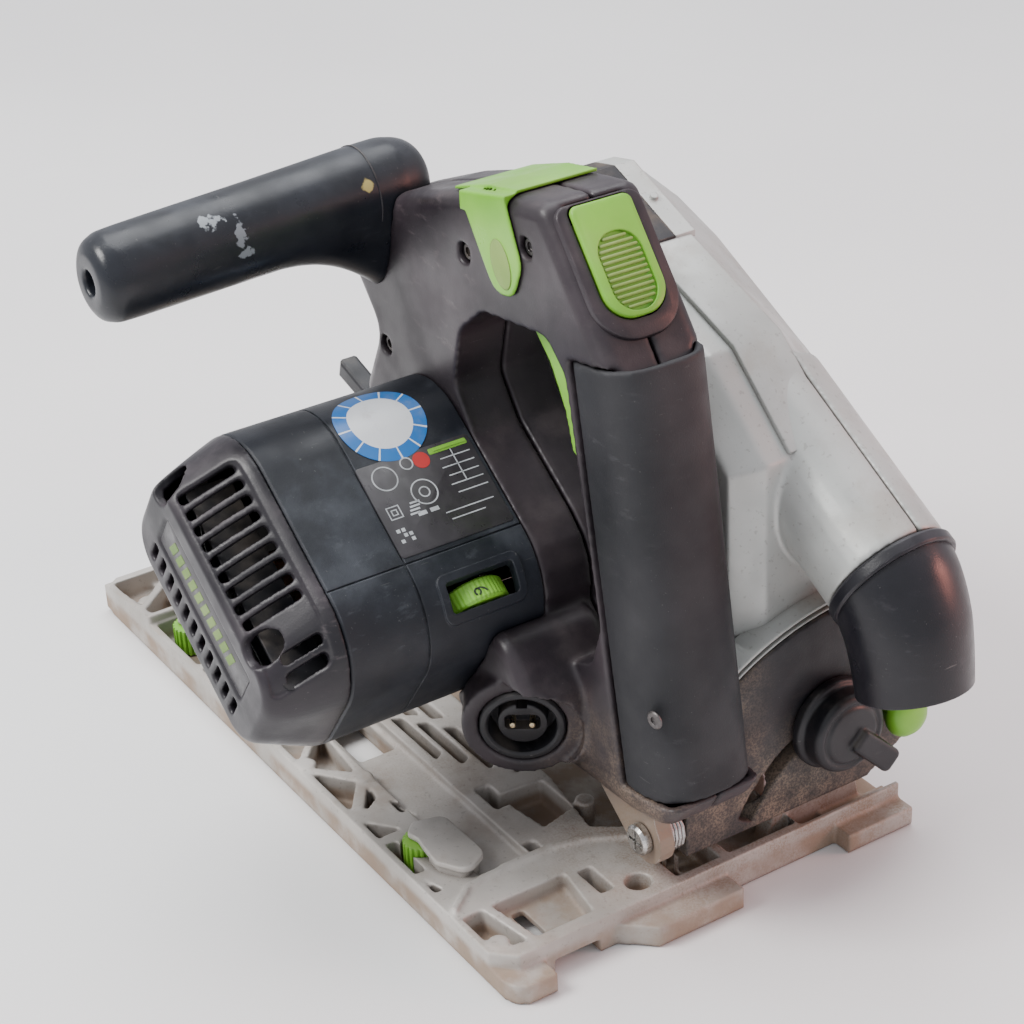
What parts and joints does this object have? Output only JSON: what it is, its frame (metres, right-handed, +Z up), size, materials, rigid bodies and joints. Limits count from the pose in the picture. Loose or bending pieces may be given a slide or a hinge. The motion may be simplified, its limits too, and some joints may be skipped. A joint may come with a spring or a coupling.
{
  "type": "track plunge saw",
  "caption": "Track plunge saw with a ribbed cast base, bevelling blade guard with dust elbow, and a spring-held plunging motor unit with arch handle and geared blade drive.",
  "frame": {"origin": "centre of the base plate's sole", "axes": "+X to the rear, -Y to the motor side, +Y to the blade side, +Z up"},
  "size_m": [0.3861, 0.2606, 0.2645],
  "materials": {
    "cast_aluminium": "bare die-cast, stained with dust",
    "guard_paint": "silver-grey paint over cast metal",
    "motor_plastic": "fine spark-eroded texture",
    "handle_plastic": "fine spark-eroded texture, dusty",
    "soft_grip": "soft overmoulded",
    "green_plastic": "smooth",
    "steel": "ground",
    "zinc_steel": "bright zinc plated",
    "black_plastic": "smooth moulded",
    "black_steel": "black coated steel",
    "commutator_copper": "turned copper",
    "label_film": "printed film",
    "dark_film": "printed film",
    "board_green": "circuit board",
    "carbon": "pressed carbon",
    "laminated_iron": "stacked sheets"
  },
  "bodies": {
    "base": {"base_plate": "cast_aluminium", "front_clamp_bolt": "zinc_steel", "rear_clamp_bolt": "zinc_steel"},
    "rear_knob": {"rear_bevel_knob": "black_plastic"},
    "front_knob": {"front_bevel_knob": "black_plastic"},
    "cam_front": {"rail_cam_front": "green_plastic"},
    "cam_rear": {"rail_cam_rear": "green_plastic"},
    "guard": {"guard_housing": "guard_paint", "guard_cover": "guard_paint", "front_segment": "black_steel", "rear_segment": "black_steel", "depth_scale": "dark_film", "top_plate": "black_steel", "top_strip": "guard_paint", "plunge_pin": "zinc_steel", "return_spring": "steel"},
    "stop": {"depth_stop": "black_plastic"},
    "undercut": {"undercut_button": "green_plastic"},
    "port": {"dust_port": "black_plastic"},
    "unit": {"handle_left": "handle_plastic", "handle_right": "handle_plastic", "motor_housing": "motor_plastic", "end_cap": "motor_plastic", "end_label": "dark_film", "sticker": "label_film", "gearbox_housing": "cast_aluminium", "gearbox_cover": "cast_aluminium", "front_handle": "motor_plastic", "grip_pad": "soft_grip", "trim_strip": "green_plastic", "arch_screw_1": "steel", "arch_screw_2": "steel", "arch_screw_3": "steel", "arch_screw_4": "steel", "appliance_inlet": "black_plastic", "pivot_ear": "cast_aluminium", "stator": "laminated_iron", "brush_1": "carbon", "brush_2": "carbon", "front_bearing": "steel", "rear_bearing": "steel", "arbor_bearing_inner": "steel", "arbor_bearing_outer": "steel", "riving_knife": "steel", "speed_board": "board_green", "power_switch": "black_plastic"},
    "trigger": {"trigger": "green_plastic"},
    "lock": {"thumb_switch": "green_plastic"},
    "dial": {"speed_dial": "green_plastic"},
    "arbor": {"arbor_shaft": "steel", "arbor_gear": "steel", "inner_flange": "steel", "outer_flange": "steel", "arbor_bolt": "zinc_steel", "saw_blade": "steel"},
    "layshaft": {"layshaft_gear": "steel"},
    "rotor": {"motor_shaft": "steel", "armature": "laminated_iron", "commutator": "commutator_copper", "fan": "black_plastic"}
  },
  "joints": [
    {"name": "bevel", "type": "hinge", "parent": "base", "child": "guard", "pos_m": [0, 0.07, 0], "axis": [-1, 0, 0], "range_deg": [-1, 47]},
    {"name": "plunge", "type": "hinge", "parent": "guard", "child": "unit", "pos_m": [0.15, 0, 0.033], "axis": [0, -1, 0], "range_deg": [0, 24], "stiffness_Nm_per_rad": 8, "springref_deg": -51.57},
    {"name": "rear_knob_turn", "type": "hinge", "parent": "base", "child": "rear_knob", "pos_m": [0.15735, 0.058, 0.056], "axis": [1, 0, 0], "range_deg": [-80, 0]},
    {"name": "front_knob_turn", "type": "hinge", "parent": "base", "child": "front_knob", "pos_m": [-0.11735, 0.058, 0.056], "axis": [1, 0, 0], "range_deg": [-60, 30]},
    {"name": "front_cam_turn", "type": "hinge", "parent": "base", "child": "cam_front", "pos_m": [-0.108, -0.078, 0.008], "axis": [0, 0, 1], "range_deg": [-90, 90]},
    {"name": "rear_cam_turn", "type": "hinge", "parent": "base", "child": "cam_rear", "pos_m": [0.084, -0.077, 0.008], "axis": [0, 0, 1], "range_deg": [-90, 90]},
    {"name": "depth_stop_slide", "type": "hinge", "parent": "guard", "child": "stop", "pos_m": [0.15, 0.016, 0.033], "axis": [0, 1, 0], "range_deg": [0, 22]},
    {"name": "undercut_press", "type": "slide", "parent": "guard", "child": "undercut", "axis": [-1, 0, 0], "range_m": [0, 0.003], "stiffness_N_per_m": 400},
    {"name": "port_swivel", "type": "hinge", "parent": "guard", "child": "port", "pos_m": [0.181, 0.0625, 0.129], "axis": [0.866, 0, -0.5001], "range_deg": [-60, 60]},
    {"name": "trigger_pull", "type": "hinge", "parent": "unit", "child": "trigger", "pos_m": [0.098, -0.007, 0.219], "axis": [0, -1, 0], "range_deg": [0, 7], "stiffness_Nm_per_rad": 1.5, "springref_deg": -2.86},
    {"name": "lock_push", "type": "slide", "parent": "unit", "child": "lock", "axis": [-0.6139, 0, 0.7894], "range_m": [0, 0.004], "stiffness_N_per_m": 300, "springref_m": -0.001},
    {"name": "dial_turn", "type": "hinge", "parent": "unit", "child": "dial", "pos_m": [0.08984, -0.0525, 0.11423], "axis": [0.809, 0, -0.5878], "range_deg": [-135, 135]},
    {"name": "arbor_spin", "type": "hinge", "parent": "unit", "child": "arbor", "pos_m": [0.00973, 0.06, 0.0867], "axis": [0, 1, 0], "continuous": true},
    {"name": "layshaft_spin", "type": "hinge", "parent": "unit", "child": "layshaft", "pos_m": [0.02953, 0.003, 0.09934], "axis": [0, 1, 0], "continuous": true},
    {"name": "rotor_spin", "type": "hinge", "parent": "unit", "child": "rotor", "pos_m": [0.0415, -0.06, 0.1166], "axis": [0, 1, 0], "continuous": true}
  ],
  "couplings": [
    {"joint": "layshaft_spin", "follows": "arbor_spin", "ratio": -1.9375},
    {"joint": "rotor_spin", "follows": "arbor_spin", "ratio": 4.3221}
  ]
}
